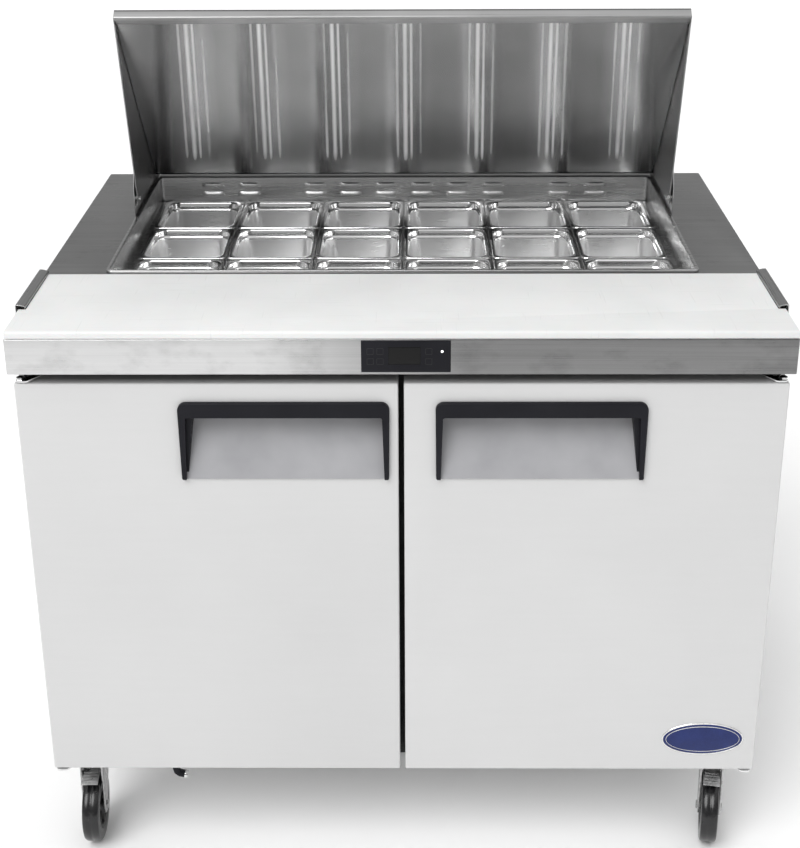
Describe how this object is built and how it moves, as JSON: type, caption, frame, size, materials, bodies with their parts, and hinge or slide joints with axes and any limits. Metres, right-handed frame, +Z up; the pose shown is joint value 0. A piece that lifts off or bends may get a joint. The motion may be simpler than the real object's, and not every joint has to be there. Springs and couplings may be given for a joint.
{
  "type": "sandwich prep table",
  "caption": "Refrigerated sandwich prep table with two doors, a tip-up lid over rows of small food pans, a white cutting board and swivel casters.",
  "frame": {"origin": "on the floor under the middle of the table's overall box", "axes": "+X to the right of a person at the doors, +Y towards the back, +Z up; the doors face -Y"},
  "size_m": [1.2316, 0.88, 1.418],
  "materials": {
    "coated_steel": "satin",
    "door_coat": "satin",
    "foam": "matte",
    "cabinet_liner": "satin",
    "stainless_top": "satin",
    "stainless_trim": "satin",
    "stainless_well": "satin",
    "stainless_hood": "satin",
    "lid_liner": "satin",
    "pan_steel": "polished",
    "cutting_board": "matte",
    "gasket": "matte",
    "black_plastic": "satin",
    "display_plastic": "gloss",
    "shelf_wire": "satin",
    "compressor_paint": "satin",
    "coil_fins": "satin",
    "fan_plastic": "matte",
    "zinc": "satin",
    "caster_rubber": "matte"
  },
  "bodies": {
    "cabinet": {"cabinet_shell": "coated_steel", "cabinet_foam": "foam", "cabinet_liner": "cabinet_liner", "countertop": "stainless_top", "board_guard_left": "stainless_trim", "board_guard_right": "stainless_trim", "well_liner": "stainless_well", "adapter_bar_1": "stainless_well", "adapter_bar_2": "stainless_well", "adapter_bar_3": "stainless_well", "adapter_bar_4": "stainless_well", "adapter_bar_5": "stainless_well", "rear_hood": "stainless_hood", "control_module": "display_plastic", "wire_shelf": "shelf_wire", "compressor": "compressor_paint", "condenser_coil": "coil_fins", "evaporator_coil": "coil_fins", "rear_grille": "coated_steel"},
    "lid": {"lid_shell": "stainless_hood", "lid_liner": "lid_liner"},
    "door_left": {"door_skin_left": "door_coat", "door_core_left": "foam", "door_gasket_left": "gasket", "door_handle_left": "black_plastic"},
    "door_right": {"door_skin_right": "door_coat", "door_core_right": "foam", "door_gasket_right": "gasket", "door_handle_right": "black_plastic"},
    "cutting_board": {"cutting_board": "cutting_board"},
    "swivel_front_left": {"caster_fork_front_left": "zinc"},
    "wheel_front_left": {"caster_wheel_front_left": "caster_rubber"},
    "swivel_front_right": {"caster_fork_front_right": "zinc"},
    "wheel_front_right": {"caster_wheel_front_right": "caster_rubber"},
    "swivel_rear_left": {"caster_fork_rear_left": "zinc"},
    "wheel_rear_left": {"caster_wheel_rear_left": "caster_rubber"},
    "swivel_rear_right": {"caster_fork_rear_right": "zinc"},
    "wheel_rear_right": {"caster_wheel_rear_right": "caster_rubber"},
    "brake_front_left": {"brake_pedal_front_left": "zinc"},
    "brake_front_right": {"brake_pedal_front_right": "zinc"},
    "condenser_fan": {"condenser_fan": "fan_plastic"},
    "evaporator_fan": {"evaporator_fan": "fan_plastic"},
    "pan_row1_1": {"pan_row1_1": "pan_steel"},
    "pan_row1_2": {"pan_row1_2": "pan_steel"},
    "pan_row1_3": {"pan_row1_3": "pan_steel"},
    "pan_row1_4": {"pan_row1_4": "pan_steel"},
    "pan_row1_5": {"pan_row1_5": "pan_steel"},
    "pan_row1_6": {"pan_row1_6": "pan_steel"},
    "pan_row2_1": {"pan_row2_1": "pan_steel"},
    "pan_row2_2": {"pan_row2_2": "pan_steel"},
    "pan_row2_3": {"pan_row2_3": "pan_steel"},
    "pan_row2_4": {"pan_row2_4": "pan_steel"},
    "pan_row2_5": {"pan_row2_5": "pan_steel"},
    "pan_row2_6": {"pan_row2_6": "pan_steel"},
    "pan_row3_1": {"pan_row3_1": "pan_steel"},
    "pan_row3_2": {"pan_row3_2": "pan_steel"},
    "pan_row3_3": {"pan_row3_3": "pan_steel"},
    "pan_row3_4": {"pan_row3_4": "pan_steel"},
    "pan_row3_5": {"pan_row3_5": "pan_steel"},
    "pan_row3_6": {"pan_row3_6": "pan_steel"}
  },
  "joints": [
    {"name": "lid_tilt", "type": "hinge", "parent": "cabinet", "child": "lid", "pos_m": [0, 0.16, 1.043], "axis": [-1, 0, 0], "range_deg": [-75.5, 0]},
    {"name": "door_left_swing", "type": "hinge", "parent": "cabinet", "child": "door_left", "pos_m": [-0.597, -0.42, 0.188], "axis": [0, 0, -1], "range_deg": [0, 115]},
    {"name": "door_right_swing", "type": "hinge", "parent": "cabinet", "child": "door_right", "pos_m": [0.597, -0.42, 0.188], "axis": [0, 0, 1], "range_deg": [0, 115]},
    {"name": "board_lift", "type": "slide", "parent": "cabinet", "child": "cutting_board", "axis": [0, 0, 1], "range_m": [0, 0.06]},
    {"name": "swivel_front_left_turn", "type": "hinge", "parent": "cabinet", "child": "swivel_front_left", "pos_m": [-0.557, -0.328, 0.1757], "axis": [0, 0, 1], "continuous": true},
    {"name": "wheel_front_left_spin", "type": "hinge", "parent": "swivel_front_left", "child": "wheel_front_left", "pos_m": [-0.55553, -0.36997, 0.0625], "axis": [0.9994, 0.0349, 0], "continuous": true},
    {"name": "brake_front_left_press", "type": "hinge", "parent": "swivel_front_left", "child": "brake_front_left", "pos_m": [-0.5556, -0.36798, 0.146], "axis": [0.9994, 0.0349, 0], "range_deg": [0, 15]},
    {"name": "swivel_front_right_turn", "type": "hinge", "parent": "cabinet", "child": "swivel_front_right", "pos_m": [0.557, -0.328, 0.1757], "axis": [0, 0, 1], "continuous": true},
    {"name": "wheel_front_right_spin", "type": "hinge", "parent": "swivel_front_right", "child": "wheel_front_right", "pos_m": [0.54971, -0.36936, 0.0625], "axis": [0.9848, -0.1736, 0], "continuous": true},
    {"name": "brake_front_right_press", "type": "hinge", "parent": "swivel_front_right", "child": "brake_front_right", "pos_m": [0.55005, -0.36739, 0.146], "axis": [0.9848, -0.1736, 0], "range_deg": [0, 15]},
    {"name": "swivel_rear_left_turn", "type": "hinge", "parent": "cabinet", "child": "swivel_rear_left", "pos_m": [-0.557, 0.35, 0.1757], "axis": [0, 0, 1], "continuous": true},
    {"name": "wheel_rear_left_spin", "type": "hinge", "parent": "swivel_rear_left", "child": "wheel_rear_left", "pos_m": [-0.557, 0.308, 0.0625], "axis": [1, 0, 0], "continuous": true},
    {"name": "swivel_rear_right_turn", "type": "hinge", "parent": "cabinet", "child": "swivel_rear_right", "pos_m": [0.557, 0.35, 0.1757], "axis": [0, 0, 1], "continuous": true},
    {"name": "wheel_rear_right_spin", "type": "hinge", "parent": "swivel_rear_right", "child": "wheel_rear_right", "pos_m": [0.557, 0.308, 0.0625], "axis": [1, 0, 0], "continuous": true},
    {"name": "condenser_fan_spin", "type": "hinge", "parent": "cabinet", "child": "condenser_fan", "pos_m": [0.21, 0.2955, 0.3349], "axis": [0, 1, 0], "continuous": true},
    {"name": "evaporator_fan_spin", "type": "hinge", "parent": "cabinet", "child": "evaporator_fan", "pos_m": [0, 0.255, 0.658], "axis": [0, 1, 0], "continuous": true},
    {"name": "pan_row1_1_lift", "type": "slide", "parent": "cabinet", "child": "pan_row1_1", "axis": [0, 0, 1], "range_m": [0, 0.12]},
    {"name": "pan_row1_2_lift", "type": "slide", "parent": "cabinet", "child": "pan_row1_2", "axis": [0, 0, 1], "range_m": [0, 0.12]},
    {"name": "pan_row1_3_lift", "type": "slide", "parent": "cabinet", "child": "pan_row1_3", "axis": [0, 0, 1], "range_m": [0, 0.12]},
    {"name": "pan_row1_4_lift", "type": "slide", "parent": "cabinet", "child": "pan_row1_4", "axis": [0, 0, 1], "range_m": [0, 0.12]},
    {"name": "pan_row1_5_lift", "type": "slide", "parent": "cabinet", "child": "pan_row1_5", "axis": [0, 0, 1], "range_m": [0, 0.12]},
    {"name": "pan_row1_6_lift", "type": "slide", "parent": "cabinet", "child": "pan_row1_6", "axis": [0, 0, 1], "range_m": [0, 0.12]},
    {"name": "pan_row2_1_lift", "type": "slide", "parent": "cabinet", "child": "pan_row2_1", "axis": [0, 0, 1], "range_m": [0, 0.12]},
    {"name": "pan_row2_2_lift", "type": "slide", "parent": "cabinet", "child": "pan_row2_2", "axis": [0, 0, 1], "range_m": [0, 0.12]},
    {"name": "pan_row2_3_lift", "type": "slide", "parent": "cabinet", "child": "pan_row2_3", "axis": [0, 0, 1], "range_m": [0, 0.12]},
    {"name": "pan_row2_4_lift", "type": "slide", "parent": "cabinet", "child": "pan_row2_4", "axis": [0, 0, 1], "range_m": [0, 0.12]},
    {"name": "pan_row2_5_lift", "type": "slide", "parent": "cabinet", "child": "pan_row2_5", "axis": [0, 0, 1], "range_m": [0, 0.12]},
    {"name": "pan_row2_6_lift", "type": "slide", "parent": "cabinet", "child": "pan_row2_6", "axis": [0, 0, 1], "range_m": [0, 0.12]},
    {"name": "pan_row3_1_lift", "type": "slide", "parent": "cabinet", "child": "pan_row3_1", "axis": [0, 0, 1], "range_m": [0, 0.055]},
    {"name": "pan_row3_2_lift", "type": "slide", "parent": "cabinet", "child": "pan_row3_2", "axis": [0, 0, 1], "range_m": [0, 0.055]},
    {"name": "pan_row3_3_lift", "type": "slide", "parent": "cabinet", "child": "pan_row3_3", "axis": [0, 0, 1], "range_m": [0, 0.055]},
    {"name": "pan_row3_4_lift", "type": "slide", "parent": "cabinet", "child": "pan_row3_4", "axis": [0, 0, 1], "range_m": [0, 0.055]},
    {"name": "pan_row3_5_lift", "type": "slide", "parent": "cabinet", "child": "pan_row3_5", "axis": [0, 0, 1], "range_m": [0, 0.055]},
    {"name": "pan_row3_6_lift", "type": "slide", "parent": "cabinet", "child": "pan_row3_6", "axis": [0, 0, 1], "range_m": [0, 0.055]}
  ]
}
